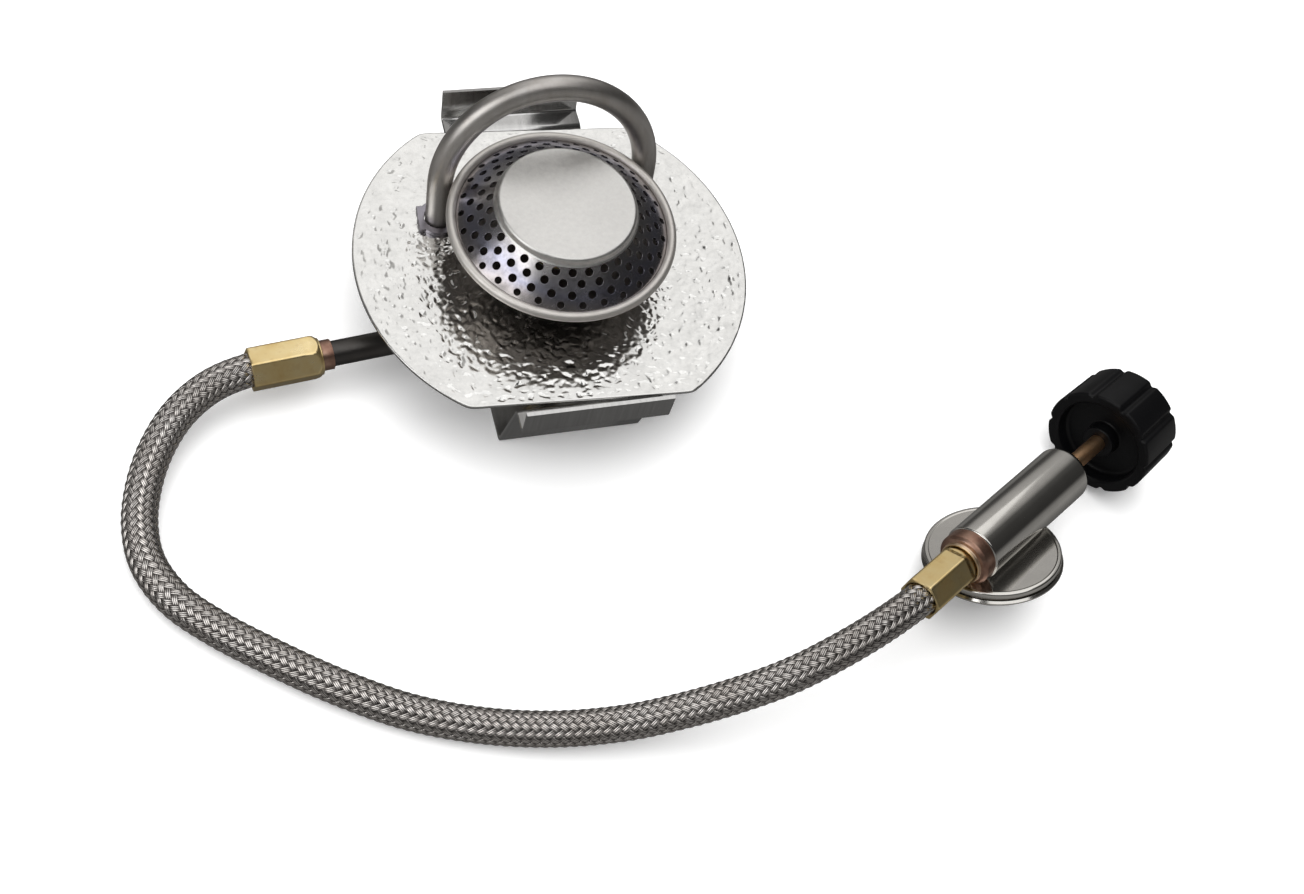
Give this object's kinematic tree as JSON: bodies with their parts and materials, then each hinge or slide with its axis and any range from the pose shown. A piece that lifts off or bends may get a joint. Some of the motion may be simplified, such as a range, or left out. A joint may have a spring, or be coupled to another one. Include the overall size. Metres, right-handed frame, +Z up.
{
  "type": "remote-canister gas burner",
  "caption": "Portable gas burner: perforated head with a preheat loop on a reflector plate and spring strap, braided hose, and a needle valve with knob for a screw-on canister.",
  "frame": {"origin": "on the burner head's axis, at the underside of the stand strap", "axes": "+Z up along the burner's axis, +Y across the reflector's two flats, -X towards the gas inlet"},
  "size_m": [0.261, 0.1688, 0.0645],
  "materials": {
    "reflector_aluminium": "stucco-embossed sheet, bright",
    "strap_stainless": "bright rolled stainless sheet",
    "rivet_steel": "satin",
    "turned_brass": "turned and drawn brass, slightly worn",
    "brazed_copper": "reddish, heat tinted",
    "satin_steel": "satin pressed stainless",
    "dark_steel": "warm dark grey tube and pressed steel",
    "cone_steel": "polished, faintly heat tinted",
    "hose_braid": "woven stainless wire braid",
    "valve_nickel": "nickel plated, polished",
    "seal_rubber": "nitrile rubber",
    "knob_plastic": "black moulded, semi-gloss"
  },
  "bodies": {
    "burner": {"heat_reflector": "reflector_aluminium", "stand_strap": "strap_stainless", "stand_rivets": "rivet_steel", "jet_block": "turned_brass", "jet_filter": "brazed_copper", "jet_washer": "brazed_copper", "gas_jet": "turned_brass", "mixing_tube": "satin_steel", "reflector_nut": "rivet_steel", "burner_cup": "dark_steel", "flame_cone": "cone_steel", "burner_cap": "satin_steel", "preheat_tube": "dark_steel", "tube_clips": "dark_steel", "nipple_burner": "brazed_copper", "ferrule_burner": "turned_brass", "braided_hose": "hose_braid", "ferrule_valve": "turned_brass", "nipple_valve": "turned_brass", "union_collar": "brazed_copper", "valve_body": "valve_nickel", "valve_seat": "turned_brass", "coupling_ring": "valve_nickel", "canister_seal": "seal_rubber", "depressor_pin": "turned_brass", "gland_bush": "turned_brass", "spindle_seal": "seal_rubber"},
    "spindle": {"valve_spindle": "turned_brass"},
    "knob": {"control_knob": "knob_plastic"}
  },
  "joints": [
    {"name": "spindle_travel", "type": "slide", "parent": "burner", "child": "spindle", "axis": [0.8434, 0.527, -0.1045], "range_m": [0, 0.002]},
    {"name": "knob_turn", "type": "hinge", "parent": "spindle", "child": "knob", "pos_m": [0.134, -0.05974, 0.01583], "axis": [0.8434, 0.527, -0.1045], "range_deg": [0, 900]}
  ],
  "couplings": [
    {"joint": "spindle_travel", "follows": "knob_turn", "m_per_rad": 0.00012732}
  ]
}
